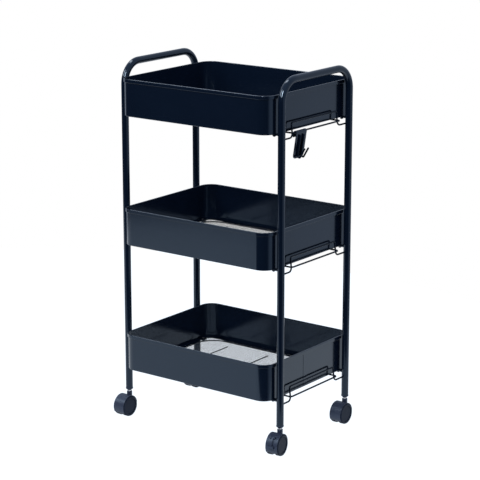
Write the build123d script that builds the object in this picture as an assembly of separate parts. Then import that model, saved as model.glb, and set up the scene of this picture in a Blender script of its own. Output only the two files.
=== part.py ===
from build123d import *
import os
from math import cos, radians, sin

# Rolling pantry cart, in millimetres. +Z is up and the origin is on the floor below the middle of the
# cart. X runs along the trays' long side, Y along the short side, and -Y is the front.

# Side frames: each end is one round tube bent into an upside-down U, whose top is the push handle.
TUBE_R = 8.5
TUBE_WALL = 1.0
LEG_X = 225.5
LEG_Y = 134.0
HANDLE_Z = 862.5
HANDLE_BEND_R = 50.0
TUBE_END_Z = 66.0

# Trays: one folded steel band each, with a rolled hem on top and a flange turned in at the bottom.
TRAYS = {"bottom": 126.0, "middle": 435.0, "top": 744.0}
TRAY_HALF_X = 212.5
TRAY_HALF_Y = 169.0
TRAY_CORNER_R = 30.0
TRAY_HEIGHT = 88.0
SHEET = 1.0
HEM_HEIGHT = 8.5
HEM_PROUD = 2.0
HEM_FILLET = 0.9
BEND_FILLET = 1.6
FLANGE_WIDTH = 12.0
SIDE_FLANGE_WIDTH = 15.5
MESH_INSET = 5.5
MESH_THICK = 0.9
SEAM_WIDTH = 14.0
SEAM_PROUD = 0.5
SEAM_Y = -24.0

# Wires, on the right end only: a hat-shaped rail welded between the legs, and an outer bar for hooks.
WIRE_R = 2.0
RAIL_LOW = -13.0
RAIL_HIGH = 20.0
RAIL_HALF_Y = 89.6
RAIL_LOW_X = 223.5
RAIL_HIGH_X = 220.0
RAIL_LOW_BEND_R = 10.0
RAIL_TOP_BEND_R = 5.0
BAR_X = 228.0
BAR_Y = 94.2
BAR_END_X = 201.0
BAR_BEND_R = 7.0

# Mesh frame: a wire ring and three ribs welded under each tray's mesh.
RIB_R = 1.5
RIB_X = (-116.0, 8.0, 132.0)
RIB_HALF = 118.0
RING_HALF_X = 198.0
RING_HALF_Y = 149.0
RING_CORNER_R = 52.0

# Fastening: a flat bracket welded to each leg reaches under the tray's flange, with a screw and a nut.
BRACKET_THICK = 2.0
BRACKET_WIDTH = 15.0
BRACKET_END_X = 198.5
SCREW_X = 205.5
SCREW_R = 2.0
SCREW_HOLE_R = 2.2
HEAD_R = 4.2
HEAD_HEIGHT = 2.2
NUT_ACROSS = 7.0
NUT_HEIGHT = 3.2

# Casters: the axle trails the stem towards the front, and every wheel stands on the floor at z = 0.
TRAIL = 16.0
WHEEL_R = 25.0
WHEEL_IN = 5.6
WHEEL_OUT = 17.0
AXLE_R = 2.5
AXLE_HALF = 13.0
RUNNING = 0.05
STEM_R = 4.0
STEM_LOW = 39.0
STEM_HIGH = 88.0
COLLAR_R = 6.5
COLLAR_TOP = 57.0
HOOD_OUT_R = 26.6
HOOD_IN_R = 25.4
HOOD_HALF = 15.0
WEB_HALF = 5.0
WEB_LOW_Z = 7.0
HOOD_FRONT_ANGLE = -30.0
HOOD_REAR_ANGLE = 170.0
PLUG_BOTTOM = 60.0
CASTERS = {
    "front_left": (-LEG_X, -LEG_Y, 0.0),
    "front_right": (LEG_X, -LEG_Y, 7.0),
    "back_left": (-LEG_X, LEG_Y, 0.0),
    "back_right": (LEG_X, LEG_Y, 0.0),
}
BRAKED = ("front_right", "back_left")
BRAKE_ANGLE = 50.0
BRAKE_PIVOT_R = 28.0
BRAKE_HUB_R = 2.6
BRAKE_PIN_R = 1.2

# Hook: a strap folded over the outer bar of the top tray's loop, with two wire prongs welded to it.
HOOK_Y = -66.5
HOOK_HALF = 20.0
HOOK_SHEET = 1.6
HOOK_GAP_R = 3.0
HOOK_CLEAR = 0.15
HOOK_DROP = 61.0
HOOK_BACK_DROP = 12.0
HOOK_LEAN = 9.0
HOOK_CORNER_R = 9.0
PRONG_R = 2.1
PRONG_SPACING = 14.0


def save(shape, name):
    export_step(shape, f"parts/{name}.step")


def rod(path, radius):
    """A round wire along a path."""
    return sweep(Plane(origin=path @ 0, z_dir=path % 0) * Circle(radius), path=path)


def rounded_block(half_x, half_y, corner_r, low, high):
    """A block with rounded vertical corners between two heights."""
    return Pos(0, 0, low) * extrude(RectangleRounded(2 * half_x, 2 * half_y, corner_r), high - low)


def x_cylinder(radius, low, high):
    """A cylinder along X between two X positions."""
    return Pos((low + high) / 2, 0, 0) * Rot(0, 90, 0) * Cylinder(radius, high - low)


def side_frame(side):
    """One end of the cart: two legs and the handle in a single bent tube."""
    x = side * LEG_X
    corners = [(x, -LEG_Y, TUBE_END_Z), (x, -LEG_Y, HANDLE_Z), (x, LEG_Y, HANDLE_Z), (x, LEG_Y, TUBE_END_Z)]
    path = FilletPolyline(*corners, radius=HANDLE_BEND_R)
    return rod(path, TUBE_R) - rod(path, TUBE_R - TUBE_WALL)


def leg_plug(x, y):
    """The socket pressed into a leg's end, with a tapered foot and a bore for the caster's stem."""
    bore = STEM_R + 0.03
    insert = TUBE_R - TUBE_WALL - 0.03
    outline = [
        (bore, PLUG_BOTTOM),
        (5.2, PLUG_BOTTOM),
        (TUBE_R + 0.3, PLUG_BOTTOM + 3.6),
        (TUBE_R + 0.6, PLUG_BOTTOM + 5.0),
        (TUBE_R + 0.3, TUBE_END_Z),
        (insert, TUBE_END_Z),
        (insert, TUBE_END_Z + 26),
        (bore, TUBE_END_Z + 26),
    ]
    return Pos(x, y, 0) * revolve(Plane.XZ * make_face(Polyline(*outline, close=True)), Axis.Z)


def side_rail(base):
    """The hat-shaped wire between the two right legs; its raised middle stands off the tray's end wall."""
    low_z, high_z = base + RAIL_LOW, base + RAIL_HIGH
    end_y = LEG_Y - 3
    corners = [
        (RAIL_LOW_X, -end_y, low_z),
        (RAIL_LOW_X, -RAIL_HALF_Y, low_z),
        (RAIL_HIGH_X, -RAIL_HALF_Y, high_z),
        (RAIL_HIGH_X, RAIL_HALF_Y, high_z),
        (RAIL_LOW_X, RAIL_HALF_Y, low_z),
        (RAIL_LOW_X, end_y, low_z),
    ]
    bends = [RAIL_LOW_BEND_R, RAIL_TOP_BEND_R, RAIL_TOP_BEND_R, RAIL_LOW_BEND_R]
    wire = rod(FilletPolyline(*corners, radius=bends), WIRE_R)
    for y in (-LEG_Y, LEG_Y):
        wire -= Pos(LEG_X, y, low_z) * Cylinder(TUBE_R, 20)
    return wire


def tray_pan(base, seam_side):
    """A tray's folded wall, rolled hem, bottom flange and lap seam."""
    inner_x, inner_y, inner_r = TRAY_HALF_X - SHEET, TRAY_HALF_Y - SHEET, TRAY_CORNER_R - SHEET
    shell = rounded_block(TRAY_HALF_X, TRAY_HALF_Y, TRAY_CORNER_R, 0, TRAY_HEIGHT)
    shell = fillet(shell.faces().sort_by(Axis.Z)[0].edges(), BEND_FILLET)
    shell += rounded_block(
        TRAY_HALF_X + HEM_PROUD,
        TRAY_HALF_Y + HEM_PROUD,
        TRAY_CORNER_R + HEM_PROUD,
        TRAY_HEIGHT - HEM_HEIGHT,
        TRAY_HEIGHT,
    )
    seam_x = seam_side * (TRAY_HALF_X + SEAM_PROUD / 2 - 0.2)
    seam_z = (TRAY_HEIGHT - HEM_HEIGHT) / 2 + 1.5
    shell += Pos(seam_x, SEAM_Y + SEAM_WIDTH / 2, seam_z) * Box(SEAM_PROUD + 0.4, SEAM_WIDTH, 2 * seam_z - 6)
    shell -= rounded_block(inner_x, inner_y, inner_r, SHEET, TRAY_HEIGHT + 1)
    open_x, open_y = TRAY_HALF_X - FLANGE_WIDTH, TRAY_HALF_Y - SIDE_FLANGE_WIDTH
    shell -= rounded_block(open_x, open_y, TRAY_CORNER_R - FLANGE_WIDTH, -1, SHEET + 1)
    top = shell.faces().filter_by(Axis.Z).sort_by(Axis.Z)[-1]
    under_hem = [f for f in shell.faces().filter_by(Axis.Z) if abs(f.center().Z - TRAY_HEIGHT + HEM_HEIGHT) < 0.1]
    edges = list(top.edges()) + list(under_hem[0].outer_wire().edges())
    pan = fillet(edges, HEM_FILLET)
    return Pos(0, 0, base) * (pan - screw_holes())


def tray_mesh(base):
    """The envelope of the wire mesh that lies on a tray's flange."""
    half_x, half_y = TRAY_HALF_X - SHEET - MESH_INSET, TRAY_HALF_Y - SHEET - MESH_INSET
    corner_r = TRAY_CORNER_R - SHEET - MESH_INSET
    mesh = rounded_block(half_x, half_y, corner_r, SHEET, SHEET + MESH_THICK)
    return Pos(0, 0, base) * (mesh - screw_holes())


def mesh_frame(base):
    """The ring and the ribs welded under a tray's mesh."""
    z = base + SHEET - RIB_R
    x, y = RING_HALF_X, RING_HALF_Y
    corners = [(x, -y, z), (x, y, z), (-x, y, z), (-x, -y, z)]
    ring = rod(FilletPolyline(*corners, radius=RING_CORNER_R, close=True), RIB_R)
    ribs = [Pos(x, 0, z) * Rot(90, 0, 0) * Cylinder(RIB_R, 2 * RIB_HALF) for x in RIB_X]
    return Compound(children=[ring, *ribs])


def hanging_bar(base):
    """The outer bar past a tray's right end, with its two arms welded under the flange."""
    z = base - WIRE_R
    corners = [(BAR_END_X, -BAR_Y, z), (BAR_X, -BAR_Y, z), (BAR_X, BAR_Y, z), (BAR_END_X, BAR_Y, z)]
    return rod(FilletPolyline(*corners, radius=BAR_BEND_R), WIRE_R)


def at_screws(shape):
    """One copy of a shape at each of a tray's four screws."""
    return [Pos(x, y, 0) * shape for x in (-SCREW_X, SCREW_X) for y in (-LEG_Y, LEG_Y)]


def screw_holes():
    """The four clearance holes through a tray's flange, mesh and brackets."""
    return at_screws(Cylinder(SCREW_HOLE_R, 20))


def tray_brackets(base):
    """Four plates welded to the legs, each reaching under the flange to its screw."""
    length = LEG_X - BRACKET_END_X
    plates = []
    for side_x in (-1, 1):
        for side_y in (-1, 1):
            middle = side_x * (LEG_X - length / 2)
            plate = Pos(middle, side_y * LEG_Y, -BRACKET_THICK / 2) * Box(length, BRACKET_WIDTH, BRACKET_THICK)
            inner = [e for e in plate.edges().filter_by(Axis.Z) if abs(e.center().X) < BRACKET_END_X + 1]
            plate = fillet(inner, 4.0) - Pos(side_x * LEG_X, side_y * LEG_Y, 0) * Cylinder(TUBE_R, 20)
            plates.append(Pos(0, 0, base) * (plate - screw_holes()))
    return Compound(children=plates)


def tray_screws(base):
    """Four pan-head screws put in from above, through mesh, flange and bracket."""
    seat = SHEET + MESH_THICK
    low = -BRACKET_THICK - NUT_HEIGHT - 1.2
    head = Pos(0, 0, seat + HEAD_HEIGHT / 2) * Cylinder(HEAD_R, HEAD_HEIGHT)
    head = fillet(head.faces().sort_by(Axis.Z)[-1].edges(), 1.3)
    slot = Box(4.4, 1.0, 2.0) + Box(1.0, 4.4, 2.0)
    screw = head + Pos(0, 0, (low + seat) / 2) * Cylinder(SCREW_R, seat - low)
    screw -= Pos(0, 0, seat + HEAD_HEIGHT + 0.1) * slot
    return Compound(children=[Pos(0, 0, base) * s for s in at_screws(screw)])


def tray_nuts(base):
    """Four hexagon nuts below the brackets."""
    nut = extrude(RegularPolygon(NUT_ACROSS / 2, 6, major_radius=False), NUT_HEIGHT)
    nut = Pos(0, 0, -BRACKET_THICK - NUT_HEIGHT) * nut - Cylinder(SCREW_R + 0.01, 30)
    return Compound(children=[Pos(0, 0, base) * n for n in at_screws(nut)])


def caster_stem():
    """The steel pin that stands in a leg's socket; the housing turns on its lower end."""
    pin = Pos(0, 0, (STEM_LOW + STEM_HIGH) / 2) * Cylinder(STEM_R, STEM_HIGH - STEM_LOW)
    return chamfer(pin.edges(), 0.6)


def on_wheel(angle, radius):
    """Y and Z of a point about the wheel centre; 0 degrees is level at the front and 90 is the top."""
    return (-TRAIL - radius * cos(radians(angle)), WHEEL_R + radius * sin(radians(angle)))


def ring_sector(inner_r, outer_r, low_angle, high_angle, half_width):
    """A curved plate about the wheel centre between two angles."""
    middle = (low_angle + high_angle) / 2
    outer = ThreePointArc(on_wheel(low_angle, outer_r), on_wheel(middle, outer_r), on_wheel(high_angle, outer_r))
    inner = ThreePointArc(on_wheel(high_angle, inner_r), on_wheel(middle, inner_r), on_wheel(low_angle, inner_r))
    sides = [Line(outer @ 1, inner @ 0), Line(inner @ 1, outer @ 0)]
    return extrude(Plane.YZ * make_face([outer, inner, *sides]), half_width, both=True)


def caster_housing(braked):
    """The hood and the web between the wheels, with the stem's collar and, if braked, the lever's ears."""
    centre = Pos(0, -TRAIL, WHEEL_R)
    web = centre * x_cylinder(HOOD_IN_R - 1.4, -WEB_HALF, WEB_HALF)
    web += ring_sector(HOOD_IN_R - 3, HOOD_OUT_R - 0.3, HOOD_FRONT_ANGLE + 4, HOOD_REAR_ANGLE - 4, WEB_HALF)
    web -= Pos(0, -TRAIL, WEB_LOW_Z - 20) * Box(40, 80, 40)
    hood = ring_sector(HOOD_IN_R, HOOD_OUT_R, HOOD_FRONT_ANGLE, HOOD_REAR_ANGLE, HOOD_HALF)
    collar_low = STEM_LOW - 3
    collar = Pos(0, 0, (collar_low + COLLAR_TOP) / 2) * Cylinder(COLLAR_R, COLLAR_TOP - collar_low)
    collar = chamfer(collar.faces().sort_by(Axis.Z)[-1].edges(), 0.7)
    wheel_room = Box(2 * HOOD_HALF + 4, 60, 60) - Box(2 * WEB_HALF + 1.2, 60, 60)
    collar -= centre * wheel_room & centre * x_cylinder(HOOD_IN_R, -HOOD_HALF - 2, HOOD_HALF + 2)
    body = web + hood + collar
    if braked:
        y, z = on_wheel(BRAKE_ANGLE, BRAKE_PIVOT_R)
        body += Pos(0, y, z) * x_cylinder(BRAKE_HUB_R + 0.2, -6.5, 6.5)
        body -= Pos(0, y, z) * x_cylinder(BRAKE_HUB_R + 0.6, -4.3, 4.3)
        body -= Pos(0, y, z) * x_cylinder(BRAKE_PIN_R + 0.07, -7, 7)
    body -= Pos(0, 0, (STEM_LOW + 70) / 2 - 0.5) * Cylinder(STEM_R + RUNNING, 71 - STEM_LOW)
    body -= centre * x_cylinder(AXLE_R, -20, 20)
    return body


def caster_axle():
    """The pin through the web that carries both wheels."""
    pin = x_cylinder(AXLE_R, -AXLE_HALF, AXLE_HALF)
    return Pos(0, -TRAIL, WHEEL_R) * chamfer(pin.edges(), 0.4)


def caster_wheel(side):
    """One hard wheel with a dished outer face, a hollow back and a blind hub bore."""
    bore = AXLE_R + RUNNING
    outline = [
        (WHEEL_IN, bore),
        (WHEEL_IN, 7.0),
        (WHEEL_IN + 5.5, 7.6),
        (WHEEL_IN + 5.5, 20.0),
        (WHEEL_IN, 20.8),
        (WHEEL_IN, WHEEL_R - 1.0),
        (WHEEL_IN + 1.0, WHEEL_R),
        (WHEEL_OUT - 2.4, WHEEL_R),
        (WHEEL_OUT - 0.9, WHEEL_R - 0.7),
        (WHEEL_OUT, WHEEL_R - 2.6),
        (WHEEL_OUT, 19.4),
        (WHEEL_OUT - 1.3, 18.2),
        (WHEEL_OUT - 1.3, 0.0),
        (AXLE_HALF + 0.2, 0.0),
        (AXLE_HALF + 0.2, bore),
    ]
    disc = revolve(make_face(Polyline(*outline, close=True)), Axis.X)
    turn = Rot(0, 0, 0) if side > 0 else Rot(0, 0, 180)
    return Pos(0, -TRAIL, WHEEL_R) * turn * disc


def brake_lever():
    """The lever on the hood's front, with trunnions at its top and a T-shaped toe pad at its foot."""
    y, z = on_wheel(BRAKE_ANGLE, BRAKE_PIVOT_R)
    lever = Pos(0, y, z) * x_cylinder(BRAKE_HUB_R, -4.0, 4.0)
    lever += Pos(0, y, z) * x_cylinder(BRAKE_PIN_R, -6.4, 6.4)
    lever += ring_sector(27.3, 29.6, 2, BRAKE_ANGLE - 2, 2.6)
    lever += ring_sector(27.3, 31.2, -3, 9, 7.5)
    return lever


def hook_profile():
    """The strap's side view about the bar's centre: X outwards and Z up, given as a face in the XZ plane."""
    inner, outer = HOOK_GAP_R, HOOK_GAP_R + HOOK_SHEET
    arc_z = WIRE_R + HOOK_CLEAR - HOOK_GAP_R
    over = ThreePointArc((outer, arc_z), (0, arc_z + outer), (-outer, arc_z))
    under = ThreePointArc((-inner, arc_z), (0, arc_z + inner), (inner, arc_z))
    back = Polyline((-outer, arc_z), (-outer, -HOOK_BACK_DROP), (-inner, -HOOK_BACK_DROP), (-inner, arc_z))
    front = Polyline((inner, arc_z), (inner, -HOOK_DROP), (outer, -HOOK_DROP), (outer, arc_z))
    return Plane.XZ * make_face([over, back, under, front])


def hang(shape):
    """Leans the hook as it hangs and puts it on the bar of the top tray's loop."""
    return Pos(BAR_X, HOOK_Y, TRAYS["top"] - WIRE_R) * Rot(0, HOOK_LEAN, 0) * shape


def hook_strap():
    """The strap, folded over the bar, with rounded lower corners."""
    strap = extrude(hook_profile(), HOOK_HALF, both=True)
    corners = [e for e in strap.edges().filter_by(Axis.X) if e.center().Z < 1 - HOOK_DROP]
    return hang(fillet(corners, HOOK_CORNER_R))


def hook_prongs():
    """Two round-tipped wire prongs that run down the strap and turn up in front of it."""
    x = HOOK_GAP_R + HOOK_SHEET + PRONG_R
    low = 3.5 - HOOK_DROP
    corners = [(x, 0, -7), (x, 0, low), (x + 7.1, 0, low), (x + 16.4, 0, low + 23)]
    path = FilletPolyline(*corners, radius=[3.5, 2.4])
    prong = rod(path, PRONG_R)
    for end in (path @ 0, path @ 1):
        prong += Pos(*end) * Sphere(PRONG_R)
    pair = [Pos(0, side * PRONG_SPACING / 2, 0) * prong for side in (-1, 1)]
    return Compound(children=[hang(p) for p in pair])


def write_casters():
    """Writes every piece of the four casters, each turned to the angle it rests at."""
    for corner, (x, y, angle) in CASTERS.items():
        place = Pos(x, y, 0) * Rot(0, 0, angle)
        save(leg_plug(x, y), f"leg_plug_{corner}")
        save(place * caster_stem(), f"caster_stem_{corner}")
        save(place * caster_housing(corner in BRAKED), f"caster_housing_{corner}")
        save(place * caster_axle(), f"caster_axle_{corner}")
        for side, word in ((-1, "left"), (1, "right")):
            save(place * caster_wheel(side), f"caster_wheel_{corner}_{word}")
        if corner in BRAKED:
            save(place * brake_lever(), f"brake_lever_{corner}")


def main():
    os.makedirs("parts", exist_ok=True)
    save(side_frame(-1), "side_frame_left")
    save(side_frame(1), "side_frame_right")
    for level, base in TRAYS.items():
        save(side_rail(base), f"side_rail_{level}")
        save(tray_pan(base, 1 if level == "bottom" else -1), f"tray_pan_{level}")
        save(tray_mesh(base), f"tray_mesh_{level}")
        save(mesh_frame(base), f"mesh_frame_{level}")
        save(hanging_bar(base), f"hanging_bar_{level}")
        save(tray_brackets(base), f"tray_brackets_{level}")
        save(tray_screws(base), f"tray_screws_{level}")
        save(tray_nuts(base), f"tray_nuts_{level}")
    write_casters()
    save(hook_strap(), "hook_strap")
    save(hook_prongs(), "hook_prongs")


main()
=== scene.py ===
import math

import bmesh
import bpy
from mathutils import Matrix, Vector


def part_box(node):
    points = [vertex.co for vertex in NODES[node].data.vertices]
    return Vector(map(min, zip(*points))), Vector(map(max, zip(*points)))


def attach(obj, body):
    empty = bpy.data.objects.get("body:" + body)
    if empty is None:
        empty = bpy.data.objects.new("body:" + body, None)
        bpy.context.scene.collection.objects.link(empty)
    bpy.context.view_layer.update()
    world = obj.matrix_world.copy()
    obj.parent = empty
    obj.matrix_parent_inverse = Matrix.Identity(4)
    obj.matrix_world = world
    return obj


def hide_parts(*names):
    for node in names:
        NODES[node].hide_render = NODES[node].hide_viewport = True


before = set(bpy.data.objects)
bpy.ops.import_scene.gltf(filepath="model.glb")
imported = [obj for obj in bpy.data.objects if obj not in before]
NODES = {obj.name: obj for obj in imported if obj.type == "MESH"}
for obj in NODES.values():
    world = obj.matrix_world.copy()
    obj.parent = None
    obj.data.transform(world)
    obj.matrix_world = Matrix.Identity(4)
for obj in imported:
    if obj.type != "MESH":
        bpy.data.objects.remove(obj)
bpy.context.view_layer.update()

# Camera, in metres: fitted so that the cart sits and slopes as it does in the reference view.
CAMERA_AT = (2.5396, -3.3830, 1.5221)
CAMERA_YAW = math.radians(36.78)
CAMERA_PITCH = math.radians(14.31)
CAMERA_LENS = 138.02
SENSOR = 36.0

# Mesh floor of each tray.
WIRE_PITCH = 0.0044
WIRE_HALF_WIDTH = 0.0006
WIRE_HALF_HEIGHT = 0.0002
MESH_HALF_X = 0.206
MESH_HALF_Y = 0.1625
MESH_CORNER = 0.0235
MESH_EDGE = 0.001
WIRE_SIDES = 8

# A wheel's face is tread where its normal leans away from the axle: its share along the axle is under this.
TREAD_NORMAL = 0.8

# Colours, linear.
NAVY = (0.0013, 0.0033, 0.0086, 1.0)
NAVY_LIGHT = (0.0021, 0.0048, 0.0118, 1.0)
WIRE_DARK = (0.0012, 0.0028, 0.0070, 1.0)
PLASTIC = (0.0060, 0.0090, 0.0200, 1.0)
PLASTIC_LIGHT = (0.0200, 0.0250, 0.0460, 1.0)
DISC = (0.0060, 0.0090, 0.0180, 1.0)
DISC_LIGHT = (0.0110, 0.0150, 0.0260, 1.0)
TREAD = (0.0010, 0.0014, 0.0026, 1.0)
SHEEN_BLUE = (0.62, 0.80, 1.0, 1.0)
BLACKED = (0.0300, 0.0320, 0.0380, 1.0)
BLACKED_LIGHT = (0.0500, 0.0530, 0.0600, 1.0)
STEEL = (0.62, 0.62, 0.63, 1.0)
STEEL_DARK = (0.48, 0.48, 0.50, 1.0)
WHITE = (1.0, 1.0, 1.0, 1.0)

# Noise scales and details of the materials.
DRIFT_SCALE = 14.0
DRIFT_DETAIL = 4.0
PATCH_SCALE = 90.0
PATCH_DETAIL = 3.0
GRAIN_DETAIL = 2.0
GRAIN_STRENGTH = 0.35

# Sockets of a colour Mix node, which share their names with its other data types.
MIX_A = 6
MIX_B = 7
MIX_RESULT = 2

# Studio, in metres.
FLOOR_R = 1.72
FLOOR_AT = Vector((-0.45, -0.45, -0.0002))
FLOOR_FRONT = 0.55
FLOOR_SLANT = 0.19
FLOOR_SEGMENTS = 96
FLOOR_BASE = (0.04, 0.04, 0.04, 1.0)
FLOOR_GLOW = (0.87, 0.93, 1.0, 1.0)
FLOOR_STRENGTH = 1.15
FLOOR_ROUGH = 0.9
FLOOR_GLOSS = 0.1
ROOM_AXIS = (0.15, 0.85, 0.50)
ROOM_DARK_AT = 0.30
ROOM_DARK = (0.02, 0.022, 0.026, 1.0)
ROOM_BRIGHT_AT = 0.50
ROOM_BRIGHT = (0.54, 0.62, 0.75, 1.0)
LIGHT_TARGET = (0, 0, 0.5)

scene = bpy.context.scene
scene.view_settings.view_transform = "Standard"
scene.view_settings.look = "None"


def node(tree, kind, at=(0, 0), **values):
    """A new shader node with its settings."""
    made = tree.nodes.new(kind)
    made.location = at
    for key, value in values.items():
        setattr(made, key, value)
    return made


def coated(name, dark, light, rough, rough_step, grain_scale, grain_depth, metal=0.0, gloss=0.5,
           tint=WHITE):
    """A surface with a slow colour drift, a patchy roughness and a fine grain in its bump."""
    mat = bpy.data.materials.new(name)
    mat.use_nodes = True
    tree = mat.node_tree
    shader = tree.nodes["Principled BSDF"]
    shader.inputs["Metallic"].default_value = metal
    shader.inputs["Specular IOR Level"].default_value = gloss
    shader.inputs["Specular Tint"].default_value = tint
    where = node(tree, "ShaderNodeTexCoord", (-1100, 0))

    drift = node(tree, "ShaderNodeTexNoise", (-850, 250))
    drift.inputs["Scale"].default_value = DRIFT_SCALE
    drift.inputs["Detail"].default_value = DRIFT_DETAIL
    tree.links.new(where.outputs["Object"], drift.inputs["Vector"])
    colour = node(tree, "ShaderNodeMix", (-500, 250), data_type="RGBA")
    colour.inputs[MIX_A].default_value = dark
    colour.inputs[MIX_B].default_value = light
    tree.links.new(drift.outputs["Fac"], colour.inputs[0])
    tree.links.new(colour.outputs[MIX_RESULT], shader.inputs["Base Color"])

    patch = node(tree, "ShaderNodeTexNoise", (-850, -20))
    patch.inputs["Scale"].default_value = PATCH_SCALE
    patch.inputs["Detail"].default_value = PATCH_DETAIL
    tree.links.new(where.outputs["Object"], patch.inputs["Vector"])
    spread = node(tree, "ShaderNodeMapRange", (-500, -20))
    spread.inputs["To Min"].default_value = rough - rough_step
    spread.inputs["To Max"].default_value = rough + rough_step
    tree.links.new(patch.outputs["Fac"], spread.inputs["Value"])
    tree.links.new(spread.outputs["Result"], shader.inputs["Roughness"])

    grain = node(tree, "ShaderNodeTexNoise", (-850, -300))
    grain.inputs["Scale"].default_value = grain_scale
    grain.inputs["Detail"].default_value = GRAIN_DETAIL
    tree.links.new(where.outputs["Object"], grain.inputs["Vector"])
    bump = node(tree, "ShaderNodeBump", (-300, -300))
    bump.inputs["Strength"].default_value = GRAIN_STRENGTH
    bump.inputs["Distance"].default_value = grain_depth
    tree.links.new(grain.outputs["Fac"], bump.inputs["Height"])
    tree.links.new(bump.outputs["Normal"], shader.inputs["Normal"])
    return mat


def dress(name, mat):
    """Gives a CAD node its material."""
    slots = NODES[name].data.materials
    slots.clear()
    slots.append(mat)


powder = coated("powder_coat", NAVY, NAVY_LIGHT, 0.14, 0.03, 700.0, 0.00003, gloss=0.5, tint=SHEEN_BLUE)
tube_coat = coated("tube_coat", NAVY, NAVY_LIGHT, 0.14, 0.03, 700.0, 0.00003, gloss=0.4, tint=SHEEN_BLUE)
wire_coat = coated("wire_coat", WIRE_DARK, NAVY, 0.30, 0.04, 900.0, 0.00006, gloss=0.12, tint=SHEEN_BLUE)
plastic = coated("black_plastic", PLASTIC, PLASTIC_LIGHT, 0.42, 0.08, 1100.0, 0.00025, gloss=0.4,
                 tint=SHEEN_BLUE)
disc = coated("wheel_plastic", DISC, DISC_LIGHT, 0.44, 0.06, 1200.0, 0.00012, gloss=0.08, tint=SHEEN_BLUE)
tread = coated("wheel_tread", TREAD, PLASTIC, 0.55, 0.06, 1200.0, 0.0001, gloss=0.1, tint=SHEEN_BLUE)
steel = coated("zinc_steel", STEEL_DARK, STEEL, 0.24, 0.08, 600.0, 0.00005, metal=1.0)
black_steel = coated("black_steel", BLACKED, BLACKED_LIGHT, 0.34, 0.08, 600.0, 0.00005, metal=1.0)

FINISH = {
    "side_frame": tube_coat,
    "tray_pan": powder,
    "tray_brackets": powder,
    "hook_strap": tube_coat,
    "hook_prongs": wire_coat,
    "side_rail": wire_coat,
    "mesh_frame": wire_coat,
    "hanging_bar": wire_coat,
    "leg_plug": plastic,
    "caster_housing": plastic,
    "brake_lever": plastic,
    "caster_wheel": disc,
    "caster_stem": steel,
    "caster_axle": steel,
    "tray_screws": black_steel,
    "tray_nuts": black_steel,
}
for node_name in NODES:
    for start, finish in FINISH.items():
        if node_name.startswith(start):
            dress(node_name, finish)
    if node_name.startswith("caster_wheel"):
        wheel = NODES[node_name].data
        wheel.materials.append(tread)
        for face in wheel.polygons:
            if abs(face.normal.x) < TREAD_NORMAL:
                face.material_index = 1


def reach(offset, half_across, half_along, corner):
    """Half the length of a wire that lies offset from the middle of a rounded rectangle."""
    past = abs(offset) - (half_across - corner)
    if past <= 0:
        return half_along
    return half_along - corner + math.sqrt(max(corner * corner - past * past, 0.0))


def add_wire(bm, start, end):
    """A straight flattened wire with closed ends."""
    along = (end - start).normalized()
    across = along.cross(Vector((0, 0, 1))).normalized()
    up = across.cross(along)
    rings = []
    for at in (start, end):
        ring = []
        for k in range(WIRE_SIDES):
            turn = 2 * math.pi * k / WIRE_SIDES
            side = WIRE_HALF_WIDTH * math.cos(turn) * across
            ring.append(bm.verts.new(at + side + WIRE_HALF_HEIGHT * math.sin(turn) * up))
        rings.append(ring)
    for k in range(WIRE_SIDES):
        n = (k + 1) % WIRE_SIDES
        bm.faces.new((rings[0][k], rings[0][n], rings[1][n], rings[1][k]))
    bm.faces.new(list(reversed(rings[0])))
    bm.faces.new(rings[1])


def mesh_floor(level):
    """The crossing wires of one tray's floor, in two layers that touch."""
    low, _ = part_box("tray_mesh_" + level)
    bm = bmesh.new()
    lower = low.z + WIRE_HALF_HEIGHT
    upper = lower + 2 * WIRE_HALF_HEIGHT
    count_y = int((MESH_HALF_Y - MESH_EDGE) / WIRE_PITCH)
    for i in range(-count_y, count_y + 1):
        y = i * WIRE_PITCH
        half = reach(y, MESH_HALF_Y, MESH_HALF_X, MESH_CORNER)
        add_wire(bm, Vector((-half, y, lower)), Vector((half, y, lower)))
    count_x = int((MESH_HALF_X - MESH_EDGE) / WIRE_PITCH)
    for i in range(-count_x, count_x + 1):
        x = i * WIRE_PITCH
        half = reach(x, MESH_HALF_X, MESH_HALF_Y, MESH_CORNER)
        add_wire(bm, Vector((x, -half, upper)), Vector((x, half, upper)))
    bmesh.ops.recalc_face_normals(bm, faces=bm.faces)
    data = bpy.data.meshes.new("mesh_wires_" + level)
    bm.to_mesh(data)
    bm.free()
    for face in data.polygons:
        face.use_smooth = len(face.vertices) == 4
    made = bpy.data.objects.new("mesh_wires_" + level, data)
    scene.collection.objects.link(made)
    data.materials.append(wire_coat)
    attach(made, "root")
    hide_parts("tray_mesh_" + level)


for tray in ("bottom", "middle", "top"):
    mesh_floor(tray)

# Floor: a cool white glowing disc, cut off in front, so the high front wall and the legs mirror a dark room.
toward_camera = Vector((math.sin(CAMERA_YAW), -math.cos(CAMERA_YAW), 0.0))
rightward = Vector((math.cos(CAMERA_YAW), math.sin(CAMERA_YAW), 0.0))
bm = bmesh.new()
bmesh.ops.create_circle(bm, cap_ends=True, segments=FLOOR_SEGMENTS, radius=FLOOR_R,
                         matrix=Matrix.Translation(FLOOR_AT))
bmesh.ops.bisect_plane(bm, geom=bm.verts[:] + bm.edges[:] + bm.faces[:], clear_outer=True,
                       plane_co=toward_camera * FLOOR_FRONT,
                       plane_no=toward_camera + rightward * FLOOR_SLANT)
floor_data = bpy.data.meshes.new("studio_floor")
bm.to_mesh(floor_data)
bm.free()
floor = bpy.data.objects.new("studio_floor", floor_data)
scene.collection.objects.link(floor)
floor_mat = bpy.data.materials.new("studio_white")
floor_mat.use_nodes = True
floor_tree = floor_mat.node_tree
floor_shader = floor_tree.nodes["Principled BSDF"]
floor_shader.inputs["Base Color"].default_value = FLOOR_BASE
floor_shader.inputs["Roughness"].default_value = FLOOR_ROUGH
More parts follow.
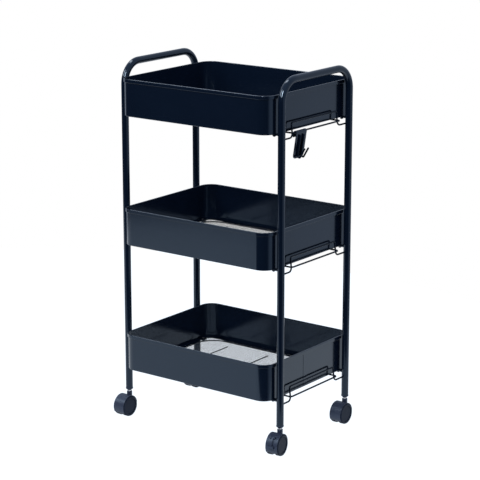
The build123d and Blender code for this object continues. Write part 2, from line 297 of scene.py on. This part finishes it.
floor_shader.inputs["Specular IOR Level"].default_value = FLOOR_GLOSS
floor_shader.inputs["Emission Color"].default_value = FLOOR_GLOW
floor_shader.inputs["Emission Strength"].default_value = FLOOR_STRENGTH
floor.data.materials.append(floor_mat)

# World: white behind the cart as the camera sees it; for reflections it is bright behind and above, and
# dark in front.
world = bpy.data.worlds.new("studio")
scene.world = world
world.use_nodes = True
sky = world.node_tree
sky.nodes.clear()
out = node(sky, "ShaderNodeOutputWorld", (900, 0))
mix = node(sky, "ShaderNodeMixShader", (700, 0))
seen = node(sky, "ShaderNodeBackground", (450, -150))
seen.inputs["Color"].default_value = WHITE
seen.inputs["Strength"].default_value = 1.0
room = node(sky, "ShaderNodeBackground", (450, 100))
path = node(sky, "ShaderNodeLightPath", (450, 400))
ramp = node(sky, "ShaderNodeValToRGB", (150, 100))
ramp.color_ramp.interpolation = "EASE"
ramp.color_ramp.elements[0].position = ROOM_DARK_AT
ramp.color_ramp.elements[0].color = ROOM_DARK
ramp.color_ramp.elements[1].position = ROOM_BRIGHT_AT
ramp.color_ramp.elements[1].color = ROOM_BRIGHT
aim = node(sky, "ShaderNodeVectorMath", (-300, 100), operation="DOT_PRODUCT")
aim.inputs[1].default_value = ROOM_AXIS
coords = node(sky, "ShaderNodeTexCoord", (-550, 100))
# The dot product runs from -1 to 1, the ramp from 0 to 1.
half_turn = node(sky, "ShaderNodeMath", (-80, 100), operation="MULTIPLY_ADD")
half_turn.inputs[1].default_value = 0.5
half_turn.inputs[2].default_value = 0.5
sky.links.new(coords.outputs["Generated"], aim.inputs[0])
sky.links.new(aim.outputs["Value"], half_turn.inputs[0])
sky.links.new(half_turn.outputs["Value"], ramp.inputs["Fac"])
sky.links.new(ramp.outputs["Color"], room.inputs["Color"])
room.inputs["Strength"].default_value = 1.0
sky.links.new(path.outputs["Is Camera Ray"], mix.inputs["Fac"])
sky.links.new(room.outputs["Background"], mix.inputs[1])
sky.links.new(seen.outputs["Background"], mix.inputs[2])
sky.links.new(mix.outputs["Shader"], out.inputs["Surface"])


def softbox(name, at, width, height, power):
    """A rectangular lamp aimed at the middle of the cart."""
    data = bpy.data.lights.new(name, "AREA")
    data.shape = "RECTANGLE"
    data.size = width
    data.size_y = height
    data.energy = power
    lamp = bpy.data.objects.new(name, data)
    scene.collection.objects.link(lamp)
    lamp.location = at
    lamp.rotation_euler = (Vector(LIGHT_TARGET) - Vector(at)).to_track_quat("-Z", "Y").to_euler()


softbox("key_front", (0.9, -2.9, 2.7), 0.7, 1.4, 150)
softbox("key_left", (-1.9, -2.2, 2.6), 1.4, 1.4, 70)
softbox("top_soft", (-0.9, 0.2, 3.0), 0.5, 2.0, 24)

camera_data = bpy.data.cameras.new("camera")
camera = bpy.data.objects.new("camera", camera_data)
scene.collection.objects.link(camera)
scene.camera = camera
camera_data.sensor_width = SENSOR
camera_data.lens = CAMERA_LENS
camera_data.clip_start = 0.1
camera_data.clip_end = 100.0
camera.location = CAMERA_AT
forward = Vector((-math.sin(CAMERA_YAW) * math.cos(CAMERA_PITCH),
                  math.cos(CAMERA_YAW) * math.cos(CAMERA_PITCH),
                  -math.sin(CAMERA_PITCH)))
camera.rotation_euler = forward.to_track_quat("-Z", "Y").to_euler()
